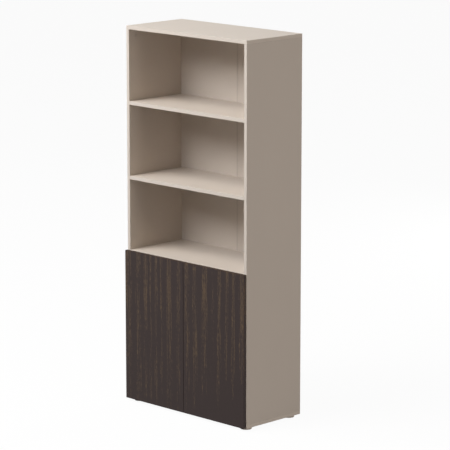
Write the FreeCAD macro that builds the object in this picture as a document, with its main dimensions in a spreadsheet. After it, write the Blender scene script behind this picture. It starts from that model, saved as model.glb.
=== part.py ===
"""Bookcase with a two-door cupboard: flat-pack boards, a split back, concealed hinges and push latches.

Frame: X across the front, +Y to the rear, +Z up. The origin is on the floor, under the middle of the closed
bookcase.
"""
import FreeCAD, Part
import os
import re
import Sketcher

vector = FreeCAD.Vector

# ---------------------------------------------------------------- driving sizes, mm and degrees
SIZES = {
    # carcass boards
    "overall_width": 850,
    "carcass_depth": 390,
    "board": 18,
    "board_edge_round": 0.6,
    "open_bay_height": 366,
    "cupboard_bay_height": 366,
    "loose_shelf_side_gap": 0.5,
    "shelf_rear_gap": 1,
    "inner_shelf_setback": 20,
    # back
    "back_thickness": 4,
    "back_rear_inset": 19,
    "back_groove_depth": 8,
    "back_groove_gap": 0.4,
    "back_edge_gap": 1,
    "profile_flange_width": 8,
    "profile_flange_thickness": 0.8,
    "profile_web_thickness": 1.2,
    # doors
    "door_thickness": 18,
    "door_gap": 2,
    "door_centre_gap": 2,
    "door_bottom_reveal": 3,
    "door_top_reveal": 2.5,
    "door_edge_round": 0.8,
    # feet
    "foot_height": 14,
    "foot_diameter": 58,
    "foot_inset": 41,
    "foot_edge_chamfer": 1.2,
    "foot_recess_diameter": 11,
    "foot_recess_height": 6,
    "foot_screw_diameter": 4,
    "foot_screw_head_diameter": 8.5,
    "foot_screw_head_height": 3,
    "foot_screw_bite": 14,
    # cam joints
    "joint_row_inset": 50,
    "joint_rear_inset": 70,
    "dowel_offset": 32,
    "dowel_diameter": 8,
    "dowel_end_depth": 20,
    "dowel_face_depth": 12,
    "dowel_bottom_gap": 0.5,
    "cam_diameter": 15,
    "cam_depth": 12.5,
    "cam_bore_gap": 0.2,
    "cam_distance": 34,
    "cam_slot_width": 1.6,
    "cam_slot_length": 9,
    "cam_slot_depth": 2.5,
    "cap_diameter": 17.5,
    "cap_thickness": 0.8,
    "cap_blade_gap": 0.3,
    "bolt_shank_diameter": 5,
    "bolt_head_diameter": 7,
    "bolt_head_length": 5,
    "bolt_channel_diameter": 8,
    "bolt_bite": 11,
    # shelf pins
    "pin_diameter": 5,
    "pin_bore_depth": 10,
    "pin_bottom_gap": 0.5,
    "pin_reach": 9,
    "pin_front_inset": 37,
    "pin_rear_inset": 69,
    # concealed hinges
    "hinge_end_distance": 100,
    "cup_diameter": 35,
    "cup_bore_gap": 0.2,
    "cup_edge_distance": 22.5,
    "cup_depth": 11.6,
    "cup_wall": 1,
    "cup_floor": 0.8,
    "cup_flange_thickness": 0.8,
    "cup_flange_rim": 1.5,
    "cup_flange_width": 19,
    "cup_flange_height": 58,
    "cup_flange_corner": 4,
    "cup_screw_offset": 9.5,
    "cup_screw_spacing": 45,
    "cup_screw_diameter": 3,
    "cup_screw_head_diameter": 6,
    "cup_screw_head_height": 1.6,
    "cup_screw_bite": 10,
    "arm_width": 16,
    "arm_wall": 1.2,
    "arm_nose_height": 27.2,
    "arm_nose_length": 8,
    "arm_nose_front": 0.3,
    "arm_tail_height": 13,
    "arm_tail_start": 40,
    "arm_tail_end": 66,
    "arm_plate_gap": 0.6,
    "arm_chin_height": 19.5,
    "arm_heel_start": 25,
    "arm_screw_diameter": 4,
    "arm_screw_head_diameter": 7,
    "arm_screw_head_height": 1.6,
    "arm_screw_bite": 5,
    "arm_screw_place": 56,
    "link_pivot_inset": 23.25,
    "link_pivot_back": 1.9,
    "link_length": 33.7,
    "link_rest_angle": 19.8,
    "link_width": 11,
    "link_radius": 2,
    "link_waist": 1.5,
    "link_pin_diameter": 2.2,
    "link_pin_gap": 0.15,
    "plate_thickness": 2,
    "plate_height": 46,
    "plate_length": 26,
    "plate_corner": 4,
    "plate_row_inset": 37,
    "plate_screw_spacing": 32,
    "plate_screw_diameter": 4,
    "plate_screw_head_diameter": 7.5,
    "plate_screw_head_height": 2,
    "plate_screw_bite": 12,
    "rail_height": 8,
    "rail_front": 28,
    "rail_side_gap": 0.4,
    # push latches
    "latch_offset": 60,
    "latch_length": 62,
    "latch_width": 18,
    "latch_height": 14,
    "latch_edge_round": 1.5,
    "latch_setback": 1,
    "latch_wing_width": 12,
    "latch_wing_thickness": 3,
    "latch_wing_length": 14,
    "latch_wing_place": 26,
    "latch_screw_diameter": 3,
    "latch_screw_head_diameter": 6,
    "latch_screw_head_height": 1.6,
    "latch_screw_bite": 10,
    "screw_end_gap": 1,
    "plunger_diameter": 8,
    "plunger_gap": 0.3,
    "plunger_length": 44,
    "plunger_tip_gap": 0.3,
    "strike_diameter": 16,
    "strike_thickness": 1,
    "strike_pin_diameter": 4,
    "strike_pin_length": 9,
    "strike_pin_gap": 1,
}

# ---------------------------------------------------------------- sizes worked out from the driving ones
inner_width = "(overall_width - 2 * board)"
front_y = "((door_thickness + door_gap - carcass_depth) / 2)"
rear_y = "((door_thickness + door_gap + carcass_depth) / 2)"
left_x = "(-overall_width / 2)"
right_x = "(overall_width / 2)"
inner_left_x = "(board - overall_width / 2)"
inner_right_x = "(overall_width / 2 - board)"

bottom_top_z = "(foot_height + board)"
inner_shelf_top_z = f"({bottom_top_z} + cupboard_bay_height + board)"
fixed_shelf_top_z = f"({inner_shelf_top_z} + cupboard_bay_height + board)"
middle_shelf_top_z = f"({fixed_shelf_top_z} + open_bay_height + board)"
upper_shelf_top_z = f"({middle_shelf_top_z} + open_bay_height + board)"
top_under_z = f"({upper_shelf_top_z} + open_bay_height)"
side_height = f"({top_under_z} - {bottom_top_z})"

groove_width = "(back_thickness + back_groove_gap)"
groove_start = "(carcass_depth - back_rear_inset - back_thickness - back_groove_gap / 2)"
back_front_depth = "(carcass_depth - back_rear_inset - back_thickness)"
shelf_depth = f"({back_front_depth} - shelf_rear_gap)"
joint_rows = ["joint_row_inset", "(carcass_depth - joint_rear_inset)"]
dowel_rows = ["(joint_row_inset + dowel_offset)", "(carcass_depth - joint_rear_inset - dowel_offset)"]
pin_rows = ["pin_front_inset", "(carcass_depth - pin_rear_inset)"]

door_width = "((overall_width - door_centre_gap) / 2)"
door_bottom_z = "(foot_height + door_bottom_reveal)"
door_height = f"({fixed_shelf_top_z} - door_top_reveal - {door_bottom_z})"
door_front_y = f"({front_y} - door_gap - door_thickness)"
hinge_levels = {
    "lower": f"({door_bottom_z} + hinge_end_distance)",
    "upper": f"({door_bottom_z} + {door_height} - hinge_end_distance)",
}

ALONG_X = vector(1, 0, 0)
ALONG_Y = vector(0, 1, 0)
ALONG_Z = vector(0, 0, 1)
HALF_TURN_ABOUT_Y = FreeCAD.Rotation(ALONG_Y, 180)
# the sketch normal of each origin plane, as a sign along its axis
NORMALS = {"XY_Plane": 1, "XZ_Plane": -1, "YZ_Plane": 1}

doc = FreeCAD.newDocument("bookcase")
sheet = doc.addObject("Spreadsheet::Sheet", "sizes")
for row, (alias, number) in enumerate(SIZES.items(), start=1):
    sheet.set(f"A{row}", alias.replace("_", " "))
    sheet.set(f"B{row}", str(number))
    sheet.setAlias(f"B{row}", alias)
doc.recompute()

nodes = {}


# ---------------------------------------------------------------- helpers
def cells(text):
    """Return an expression in which each size's alias points at its cell in the sheet."""
    return re.sub(r"[a-z_]+", lambda word: f"sizes.{word[0]}" if word[0] in SIZES else word[0], text)


def bind(thing, prop, text):
    """Tie one property of a document object to the sheet."""
    thing.setExpression(prop, cells(text))


def place(thing, x, y, z, rotation=FreeCAD.Rotation()):
    """Set a piece down at a point worked out from the sheet."""
    thing.Placement = FreeCAD.Placement(vector(), rotation)
    for axis, text in zip("xyz", (x, y, z)):
        bind(thing, f"Placement.Base.{axis}", text)


def new_body(label):
    """Start a PartDesign body for one piece."""
    body = doc.addObject("PartDesign::Body", label)
    body.Label = label
    nodes[label] = body
    return body


def new_sketch(body, role, level="0"):
    """Add a sketch on one of the body's origin planes, moved along that plane's axis to a level."""
    sketch = body.newObject("Sketcher::SketchObject", f"{body.Name}_sketch")
    origin_plane = next(item for item in body.Origin.OriginFeatures if item.Role == role)
    sketch.AttachmentSupport = (origin_plane, [""])
    sketch.MapMode = "FlatFace"
    bind(sketch, "AttachmentOffset.Base.z", f"{NORMALS[role]} * ({level})")
    return sketch


def constrain(sketch, kind, *where, size):
    """Add a constraint with a size from the sheet."""
    start_value = 1.0
    index = sketch.addConstraint(Sketcher.Constraint(kind, *where, start_value))
    bind(sketch, f"Constraints[{index}]", size)


def rectangle(left, low, wide, high):
    """Return a drawing of an upright rectangle from its low left corner."""
    def draw(sketch):
        corners = [vector(0, 0, 0), vector(9, 0, 0), vector(9, 9, 0), vector(0, 9, 0)]
        first = sketch.GeometryCount
        for index, corner in enumerate(corners):
            sketch.addGeometry(Part.LineSegment(corner, corners[(index + 1) % 4]))
        for index in range(4):
            follower = first + (index + 1) % 4
            sketch.addConstraint(Sketcher.Constraint("Coincident", first + index, 2, follower, 1))
            kind = "Vertical" if index % 2 else "Horizontal"
            sketch.addConstraint(Sketcher.Constraint(kind, first + index))
        constrain(sketch, "DistanceX", -1, 1, first, 1, size=left)
        constrain(sketch, "DistanceY", -1, 1, first, 1, size=low)
        constrain(sketch, "DistanceX", first, 1, first, 2, size=wide)
        constrain(sketch, "DistanceY", first + 1, 1, first + 1, 2, size=high)
    return draw


def circles(diameter, centres):
    """Return a drawing of equal circles."""
    def draw(sketch):
        for x, y in centres:
            index = sketch.addGeometry(Part.Circle(vector(1, 1, 0), vector(0, 0, 1), 1))
            constrain(sketch, "Diameter", index, size=diameter)
            constrain(sketch, "DistanceX", -1, 1, index, 3, size=x)
            constrain(sketch, "DistanceY", -1, 1, index, 3, size=y)
    return draw


def polygon(points, rough):
    """Return a drawing of a closed polygon; rough holds whole-number points near the true ones."""
    def draw(sketch):
        for index, point in enumerate(rough):
            after = rough[(index + 1) % len(rough)]
            sketch.addGeometry(Part.LineSegment(vector(*point, 0), vector(*after, 0)))
        for index, (x, y) in enumerate(points):
            follower = (index + 1) % len(points)
            sketch.addConstraint(Sketcher.Constraint("Coincident", index, 2, follower, 1))
            constrain(sketch, "DistanceX", -1, 1, index, 1, size=x)
            constrain(sketch, "DistanceY", -1, 1, index, 1, size=y)
    return draw


def feature(body, kind, role, level, length, toward, drawing):
    """Pad or pocket a drawing from a level of an origin plane, toward +1 or -1 along that plane's axis."""
    sketch = new_sketch(body, role, level)
    drawing(sketch)
    result = body.newObject(f"PartDesign::{kind}", f"{body.Name}_{kind.lower()}")
    result.Profile = sketch
    bind(result, "Length", length)
    forward = NORMALS[role] if kind == "Pad" else -NORMALS[role]
    result.Reversed = toward != forward
    doc.recompute()
    return result


def pad(body, role, level, length, drawing, toward=1):
    """Add material."""
    return feature(body, "Pad", role, level, length, toward, drawing)


def cut(body, role, level, depth, toward, drawing):
    """Take material away, and make sure that the cut meets the piece."""
    before = body.Shape.Volume
    feature(body, "Pocket", role, level, depth, toward, drawing)
    if body.Shape.Volume > before - 1e-3:
        raise RuntimeError(f"a cut misses {body.Label}")


def round_edges(body, radius, wanted):
    """Round the edges of a plain block that pass a test of their run along X, Y and Z and their middle."""
    names = []
    for number, edge in enumerate(body.Shape.Edges, start=1):
        box = edge.BoundBox
        if wanted(vector(box.XLength, box.YLength, box.ZLength), box.Center):
            names.append(f"Edge{number}")
    plain_block = body.Tip
    rounding = body.newObject("PartDesign::Fillet", f"{body.Name}_rounding")
    rounding.Base = (plain_block, names)
    bind(rounding, "Radius", radius)
    doc.recompute()


def is_front_edge_along_x(run, middle):
    """Tell whether an edge is one of the two long front edges of a level board."""
    return run.x > 1 and middle.y < 1e-6


def is_front_or_end_edge(run, middle):
    """Tell whether an edge is a long front edge of a level board or runs along one of its ends."""
    return is_front_edge_along_x(run, middle) or run.y > 1


def is_front_edge_along_z(run, middle):
    """Tell whether an edge is one of the two long front edges of an upright board."""
    return run.z > 1 and middle.y < 1e-6


def is_face_edge(run, middle):
    """Tell whether an edge bounds the front or the rear face of a door."""
    return run.y < 1e-6


def is_edge_straight_in(run, middle):
    """Tell whether an edge runs along Y alone, from the front of a piece to its rear."""
    return run.y > 1e-6 and max(run.x, run.z) < 1e-6


def is_edge_straight_out(run, middle):
    """Tell whether an edge runs along X alone, out of a side board's face."""
    return run.x > 1e-6 and max(run.y, run.z) < 1e-6


def cylinder(diameter, length, start, direction):
    """Return a cylinder that runs from a point along a direction."""
    rod = doc.addObject("Part::Cylinder", "rod")
    bind(rod, "Radius", f"({diameter}) / 2")
    bind(rod, "Height", length)
    place(rod, *start, FreeCAD.Rotation(ALONG_Z, direction))
    return rod


def along(start, direction, distance):
    """Return the point at a distance from start along one of the axes."""
    return [f"({base}) + ({int(step)}) * ({distance})" for base, step in zip(start, direction)]


def turned(steps, start, direction):
    """Return one piece made of cylinders, each (diameter, length), laid end to end from start."""
    rods = []
    reached = "0"
    for diameter, length in steps:
        rods.append(cylinder(diameter, length, along(start, direction, reached), direction))
        reached = f"{reached} + ({length})"
    if len(rods) == 1:
        return rods[0]
    piece = doc.addObject("Part::MultiFuse", "turned")
    piece.Shapes = rods
    return piece


def group(label, pieces):
    """Put equal small pieces under one node."""
    node = doc.addObject("Part::Compound", label)
    node.Label = label
    node.Links = pieces
    nodes[label] = node


# ---------------------------------------------------------------- bottom, top and side boards
def horizontal_board(label, z, groove_level, groove_toward):
    """The top or the bottom board: full width, with a groove for the back and the sides' joint holes."""
    body = new_body(label)
    pad(body, "XY_Plane", "0", "board", rectangle("0", "0", "overall_width", "carcass_depth"))
    round_edges(body, "board_edge_round", is_front_or_end_edge)
    bolt_centres = [(x, y) for x in ("board / 2", "overall_width - board / 2") for y in joint_rows]
    dowel_centres = [(x, y) for x in ("board / 2", "overall_width - board / 2") for y in dowel_rows]
    groove_length = f"{inner_width} + 2 * back_groove_depth"
    groove = rectangle("board - back_groove_depth", groove_start, groove_length, groove_width)
    bolt_holes = circles("bolt_shank_diameter", bolt_centres)
    dowel_holes = circles("dowel_diameter", dowel_centres)
    cut(body, "XY_Plane", groove_level, "back_groove_depth", groove_toward, groove)
    cut(body, "XY_Plane", groove_level, "bolt_bite", groove_toward, bolt_holes)
    cut(body, "XY_Plane", groove_level, "dowel_face_depth", groove_toward, dowel_holes)
    place(body, left_x, front_y, z)
    return body


horizontal_board("top_panel", top_under_z, "0", 1)
bottom = horizontal_board("bottom_panel", "foot_height", "board", -1)
foot_centres = [
    (x, y)
    for x in ("foot_inset", "overall_width - foot_inset")
    for y in ("foot_inset", "carcass_depth - foot_inset")
]
cut(bottom, "XY_Plane", "0", "foot_screw_bite", 1, circles("foot_screw_diameter", foot_centres))

loose_shelf_levels = {
    "inner": inner_shelf_top_z,
    "middle": middle_shelf_top_z,
    "upper": upper_shelf_top_z,
}
loose_shelf_setbacks = {"inner": "inner_shelf_setback", "middle": "0", "upper": "0"}


def side_panel(side, x, inner_level, inward):
    """A side board with its back groove, joint holes, shelf pin holes and hinge plate holes."""
    body = new_body(f"side_panel_{side}")
    pad(body, "YZ_Plane", "0", "board", rectangle("0", "0", "carcass_depth", side_height))
    round_edges(body, "board_edge_round", is_front_edge_along_z)

    def cut_inner(depth, drawing):
        cut(body, "YZ_Plane", inner_level, depth, inward, drawing)

    cut_inner("back_groove_depth", rectangle(groove_start, "0", groove_width, side_height))
    cam_levels = ("cam_distance", f"{side_height} - cam_distance")
    cam_centres = [(y, z) for y in joint_rows for z in cam_levels]
    cut_inner("cam_depth", circles("cam_diameter + cam_bore_gap", cam_centres))
    fixed_level = f"{fixed_shelf_top_z} - board / 2 - {bottom_top_z}"
    cut_inner("bolt_bite", circles("bolt_shank_diameter", [(y, fixed_level) for y in joint_rows]))
    cut_inner("dowel_face_depth", circles("dowel_diameter", [(y, fixed_level) for y in dowel_rows]))
    pin_holes = [
        (y, f"{top_z} - board - pin_diameter / 2 - {bottom_top_z}")
        for top_z in loose_shelf_levels.values()
        for y in pin_rows
    ]
    cut_inner("pin_bore_depth", circles("pin_diameter", pin_holes))
    plate_holes = [
        ("plate_row_inset", f"{level} + ({sign}) * plate_screw_spacing / 2 - {bottom_top_z}")
        for level in hinge_levels.values()
        for sign in (-1, 1)
    ]
    cut_inner("plate_screw_bite", circles("plate_screw_diameter", plate_holes))
    for level, toward in (("0", 1), (side_height, -1)):
        bolt_channels = circles("bolt_channel_diameter", [("board / 2", y) for y in joint_rows])
        cut(body, "XY_Plane", level, "cam_distance", toward, bolt_channels)
        dowel_holes = circles("dowel_diameter", [("board / 2", y) for y in dowel_rows])
        cut(body, "XY_Plane", level, "dowel_end_depth", toward, dowel_holes)
    place(body, x, front_y, bottom_top_z)


side_panel("left", left_x, "board", -1)
side_panel("right", inner_right_x, "0", 1)

# ---------------------------------------------------------------- shelves
fixed = new_body("fixed_shelf")
pad(fixed, "XY_Plane", "0", "board", rectangle("0", "0", inner_width, shelf_depth))
round_edges(fixed, "board_edge_round", is_front_edge_along_x)
cam_centres = [(x, y) for x in ("cam_distance", f"{inner_width} - cam_distance") for y in joint_rows]
cut(fixed, "XY_Plane", "0", "cam_depth", 1, circles("cam_diameter + cam_bore_gap", cam_centres))
latch_centres = ["-latch_offset", "latch_offset"]
latch_screw_places = [
    (f"{x} + ({sign}) * (latch_width + latch_wing_width) / 2", "latch_setback + latch_wing_place")
    for x in latch_centres
    for sign in (-1, 1)
]
latch_holes = [(f"{inner_width} / 2 + {x}", y) for x, y in latch_screw_places]
cut(fixed, "XY_Plane", "0", "latch_screw_bite", 1, circles("latch_screw_diameter", latch_holes))
for level, toward in (("0", 1), (inner_width, -1)):
    channels = circles("bolt_channel_diameter", [(y, "board / 2") for y in joint_rows])
    cut(fixed, "YZ_Plane", level, "cam_distance", toward, channels)
    ends = circles("dowel_diameter", [(y, "board / 2") for y in dowel_rows])
    cut(fixed, "YZ_Plane", level, "dowel_end_depth", toward, ends)
place(fixed, inner_left_x, front_y, f"{fixed_shelf_top_z} - board")

for name, top_z in loose_shelf_levels.items():
    shelf = new_body(f"shelf_{name}")
    setback = loose_shelf_setbacks[name]
    outline = rectangle("0", "0", f"{inner_width} - 2 * loose_shelf_side_gap", f"{shelf_depth} - {setback}")
    pad(shelf, "XY_Plane", "0", "board", outline)
    round_edges(shelf, "board_edge_round", is_front_edge_along_x)
    place(shelf, f"{inner_left_x} + loose_shelf_side_gap", f"{front_y} + {setback}", f"{top_z} - board")

# ---------------------------------------------------------------- back: two thin halves and a strip between
back_reach = "(back_groove_depth - back_edge_gap)"
back_height = f"({side_height} + 2 * {back_reach})"
back_half_width = f"({inner_width} / 2 + {back_reach} - profile_web_thickness / 2 - back_edge_gap / 2)"
back_x = {
    "left": f"{inner_left_x} - {back_reach}",
    "right": "(profile_web_thickness + back_edge_gap) / 2",
}
for side, x in back_x.items():
    half = new_body(f"back_panel_{side}")
    pad(half, "XZ_Plane", "0", "back_thickness", rectangle("0", "0", back_half_width, back_height))
    place(half, x, f"{front_y} + {back_front_depth}", f"{bottom_top_z} - {back_reach}")

profile = new_body("back_joint_profile")
flange_start = "-profile_flange_width / 2"
profile_strips = [
    (flange_start, "-profile_flange_thickness", "profile_flange_width", "profile_flange_thickness"),
    ("-profile_web_thickness / 2", "0", "profile_web_thickness", "back_thickness"),
    (flange_start, "back_thickness", "profile_flange_width", "profile_flange_thickness"),
]
for strip in profile_strips:
    pad(profile, "XY_Plane", "0", side_height, rectangle(*strip))
place(profile, "0", f"{front_y} + {back_front_depth}", bottom_top_z)

# ---------------------------------------------------------------- cam locks, cam bolts and dowels
cams = {"top": [], "bottom": [], "shelf": []}
bolts = {"top": [], "bottom": [], "shelf": []}
dowels = {"top": [], "bottom": [], "shelf": []}
caps = []


def bar_across(centre, cam_direction, wide, long, deep):
    """A small bar centred on a point of a cam's axis, with its long side along Y and deep along that axis."""
    bar = doc.addObject("Part::Box", "bar")
    corner = []
    for prop, axis, middle in zip(("Length", "Width", "Height"), (ALONG_X, ALONG_Y, ALONG_Z), centre):
        extent = wide
        if axis == ALONG_Y:
            extent = long
        if axis.cross(cam_direction).Length == 0:
            extent = deep
        bind(bar, prop, extent)
        corner.append(f"({middle}) - ({extent}) / 2")
    place(bar, *corner)
    return bar


def cover_cap(mouth, cam_direction):
    """The thin cap that hides a cam, held by a blade in the cam's driver slot."""
    disc_start = along(mouth, -cam_direction, "cap_thickness")
    disc = cylinder("cap_diameter", "cap_thickness", disc_start, cam_direction)
    blade_depth = "(cam_slot_depth - cap_blade_gap)"
    blade_centre = along(mouth, cam_direction, f"{blade_depth} / 2")
    blade_wide = "cam_slot_width - 2 * cap_blade_gap"
    blade_long = "cam_slot_length - 2 * cap_blade_gap"
    blade = bar_across(blade_centre, cam_direction, blade_wide, blade_long, blade_depth)
    cap = doc.addObject("Part::MultiFuse", "cap")
    cap.Shapes = [disc, blade]
    return cap


def cam_joint(joint, point, bolt_direction, cam_direction):
    """A bolt screwed in at point, and the cam that grips its head, pressed in along cam_direction."""
    start = along(point, -bolt_direction, "bolt_bite")
    shank_length = "bolt_bite + cam_distance - bolt_head_length / 2"
    steps = [("bolt_shank_diameter", shank_length), ("bolt_head_diameter", "bolt_head_length")]
    bolts[joint].append(turned(steps, start, bolt_direction))
    centre = along(point, bolt_direction, "cam_distance")
    mouth = along(centre, -cam_direction, "board / 2")
    barrel = cylinder("cam_diameter", "cam_depth", mouth, cam_direction)
    rim = along(centre, -bolt_direction, "cam_diameter")
    passage = cylinder("bolt_channel_diameter", "cam_diameter + bolt_head_length", rim, bolt_direction)
    driver_slot = bar_across(mouth, cam_direction, "cam_slot_width", "cam_slot_length", "2 * cam_slot_depth")
    waste = doc.addObject("Part::MultiFuse", "cam_waste")
    waste.Shapes = [passage, driver_slot]
    cam = doc.addObject("Part::Cut", "cam")
    cam.Base = barrel
    cam.Tool = waste
    cams[joint].append(cam)
    caps.append(cover_cap(mouth, cam_direction))


def dowel_joint(joint, point, direction):
    """A dowel, its short end in the face at point and its long end along direction."""
    start = along(point, -direction, "dowel_face_depth - dowel_bottom_gap")
    length = "dowel_face_depth + dowel_end_depth - 2 * dowel_bottom_gap"
    dowels[joint].append(cylinder("dowel_diameter", length, start, direction))


for outward, edge_x, face_x in ((-1, left_x, inner_left_x), (1, right_x, inner_right_x)):
    board_middle_x = f"{edge_x} - ({outward}) * board / 2"
    into_side = ALONG_X * outward
    for row in joint_rows:
        y = f"{front_y} + {row}"
        cam_joint("top", (board_middle_x, y, top_under_z), -ALONG_Z, into_side)
        cam_joint("bottom", (board_middle_x, y, bottom_top_z), ALONG_Z, into_side)
        cam_joint("shelf", (face_x, y, f"{fixed_shelf_top_z} - board / 2"), -into_side, ALONG_Z)
    for row in dowel_rows:
        y = f"{front_y} + {row}"
        dowel_joint("top", (board_middle_x, y, top_under_z), -ALONG_Z)
        dowel_joint("bottom", (board_middle_x, y, bottom_top_z), ALONG_Z)
        dowel_joint("shelf", (face_x, y, f"{fixed_shelf_top_z} - board / 2"), -into_side)
for joint in cams:
    group(f"cam_locks_{joint}", cams[joint])
    group(f"cam_bolts_{joint}", bolts[joint])
    group(f"dowels_{joint}", dowels[joint])
group("cam_cover_caps", caps)

# ---------------------------------------------------------------- shelf pins
for name, top_z in loose_shelf_levels.items():
    pins = []
    for outward, face_x in ((-1, inner_left_x), (1, inner_right_x)):
        for row in pin_rows:
            end = (face_x, f"{front_y} + {row}", f"{top_z} - board - pin_diameter / 2")
            start = along(end, ALONG_X * outward, "pin_bore_depth - pin_bottom_gap")
            buried = "pin_bore_depth - pin_bottom_gap"
            pins.append(turned([("pin_diameter", f"{buried} + pin_reach")], start, -ALONG_X * outward))
    group(f"shelf_pins_{name}", pins)

# ---------------------------------------------------------------- feet
foot_positions = {}
for side, x in (("left", f"{left_x} + foot_inset"), ("right", f"{right_x} - foot_inset")):
    for end, y in (("front", f"{front_y} + foot_inset"), ("rear", f"{rear_y} - foot_inset")):
        foot_positions[f"{end}_{side}"] = (x, y)
screw_hole = "foot_screw_diameter / 2"
recess = "foot_recess_diameter / 2"
rim = "foot_diameter / 2"
foot_outline = [
    (recess, "0"),
    (f"{rim} - foot_edge_chamfer", "0"),
    (rim, "foot_edge_chamfer"),
    (rim, "foot_height"),
    (screw_hole, "foot_height"),
    (screw_hole, "foot_recess_height"),
    (recess, "foot_recess_height"),
]
foot_screws = []
for name, (x, y) in foot_positions.items():
    foot = new_body(f"foot_{name}")
    sketch = new_sketch(foot, "XZ_Plane")
    polygon(foot_outline, [(5, 0), (27, 0), (29, 1), (29, 14), (2, 14), (2, 6), (5, 6)])(sketch)
    turning = foot.newObject("PartDesign::Revolution", f"{foot.Name}_turning")
    turning.Profile = sketch
    turning.ReferenceAxis = (sketch, ["V_Axis"])
    turning.Angle = 360
    place(foot, x, y, "0")
    steps = [
        ("foot_screw_head_diameter", "foot_screw_head_height"),
        ("foot_screw_diameter", "foot_height - foot_recess_height + foot_screw_bite - screw_end_gap"),
    ]
    head_z = "foot_recess_height - foot_screw_head_height"
    foot_screws.append(turned(steps, (x, y, head_z), ALONG_Z))
group("foot_screws", foot_screws)

# ---------------------------------------------------------------- doors
cup_bore = "(cup_diameter + cup_bore_gap)"
door_left_edges = {"left": left_x, "right": "door_centre_gap / 2"}
cup_columns = {"left": "cup_edge_distance", "right": f"{door_width} - cup_edge_distance"}
# from the cup towards the middle of the door
inward_signs = {"left": 1, "right": -1}
strike_z = f"({fixed_shelf_top_z} - board - latch_height / 2)"
door_level_rows = [f"{level} - {door_bottom_z}" for level in hinge_levels.values()]
for side, x in door_left_edges.items():
    door = new_body(f"door_{side}")
    column = cup_columns[side]
    pad(door, "XZ_Plane", "0", "door_thickness", rectangle("0", "0", door_width, door_height))
    round_edges(door, "door_edge_round", is_face_edge)
    cups = circles(cup_bore, [(column, row) for row in door_level_rows])
    cut(door, "XZ_Plane", "door_thickness", "cup_depth", -1, cups)
    screw_column = f"{column} + ({inward_signs[side]}) * cup_screw_offset"
    screw_holes = [
        (screw_column, f"{row} + ({sign}) * cup_screw_spacing / 2")
        for row in door_level_rows
        for sign in (-1, 1)
    ]
    cut(door, "XZ_Plane", "door_thickness", "cup_screw_bite", -1, circles("cup_screw_diameter", screw_holes))
    latch_x = f"(-({inward_signs[side]}) * latch_offset)"
    strike_place = (f"{latch_x} - ({x})", f"{strike_z} - {door_bottom_z}")
    strike_hole = circles("strike_pin_diameter", [strike_place])
    cut(door, "XZ_Plane", "door_thickness", "strike_pin_length", -1, strike_hole)
    place(door, x, door_front_y, door_bottom_z)

# ---------------------------------------------------------------- concealed hinges
# Each hinge piece has its zero on the side board's inner face, at the boards' front edge and half-way up the
# hinge. There -X leads into the cupboard. The left hinges are the right ones turned over about Y.
cup_x = "(board - cup_edge_distance)"
pivot_x = "(-link_pivot_inset)"
arm_outline = [
    ("-plate_thickness - arm_plate_gap", "arm_heel_start"),
    ("-arm_chin_height", "-arm_nose_front"),
    ("-arm_nose_height", "-arm_nose_front"),
    ("-arm_nose_height", "arm_nose_length"),
    ("-arm_tail_height", "arm_tail_start"),
    ("-arm_tail_height", "arm_tail_end"),
    ("-plate_thickness - arm_plate_gap", "arm_tail_end"),
]
arm_rough = [(-3, 25), (-19, 0), (-27, 0), (-27, 8), (-13, 40), (-13, 66), (-3, 66)]
arm_hollow = [
    ("0", "-2 * arm_nose_front"),
    ("arm_wall - arm_nose_height", "-2 * arm_nose_front"),
    ("arm_wall - arm_nose_height", "arm_nose_length - arm_wall"),
    ("arm_wall - arm_tail_height", "arm_tail_start - arm_wall"),
    ("arm_wall - arm_tail_height", "arm_tail_end + arm_wall"),
    ("0", "arm_tail_end + arm_wall"),
]
hollow_rough = [(0, -1), (-26, -1), (-26, 7), (-12, 39), (-12, 67), (0, 67)]


def lengthwise(body, kind, width, drawing):
    """Pad or pocket a drawing in the hinge's plane, half of the width to each side of it."""
    return feature(body, kind, "XY_Plane", f"-({width}) / 2", width, 1, drawing)


def hinge_cup(label):
    """The pressed cup in the door, with a flange that has a screw hole above and below."""
    cup = new_body(label)
    rim_diameter = "cup_diameter + 2 * cup_flange_rim"
    wings_start = f"{cup_x} - cup_flange_width"
    wings = rectangle(wings_start, "-cup_flange_height / 2", "cup_flange_width", "cup_flange_height")
    pad(cup, "XZ_Plane", "-door_gap", "cup_flange_thickness", wings)
    round_edges(cup, "cup_flange_corner", is_edge_straight_in)
    pad(cup, "XZ_Plane", "-door_gap", "cup_flange_thickness", circles(rim_diameter, [(cup_x, "0")]))
    pad(cup, "XZ_Plane", "-door_gap", "cup_depth", circles("cup_diameter", [(cup_x, "0")]), toward=-1)
    mouth = circles("cup_diameter - 2 * cup_wall", [(cup_x, "0")])
    hollow_depth = "cup_flange_thickness + cup_depth - cup_floor"
    cut(cup, "XZ_Plane", "cup_flange_thickness - door_gap", hollow_depth, -1, mouth)
    screw_places = [(f"{cup_x} - cup_screw_offset", f"({sign}) * cup_screw_spacing / 2") for sign in (-1, 1)]
    screw_holes = circles("cup_screw_diameter", screw_places)
    cut(cup, "XZ_Plane", "cup_flange_thickness - door_gap", "cup_flange_thickness", -1, screw_holes)
    return cup


def hinge_arm(label):
    """The channel-shaped arm that carries the link's pin in its nose."""
    arm = new_body(label)
    lengthwise(arm, "Pad", "arm_width", polygon(arm_outline, arm_rough))
    lengthwise(arm, "Pocket", "arm_width - 2 * arm_wall", polygon(arm_hollow, hollow_rough))
    lengthwise(arm, "Pocket", "arm_width", circles("link_pin_diameter", [(pivot_x, "link_pivot_back")]))
    screw_hole = circles("arm_screw_diameter", [("arm_screw_place", "0")])
    cut(arm, "YZ_Plane", "-arm_tail_height", "arm_wall", 1, screw_hole)
    return arm


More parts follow.
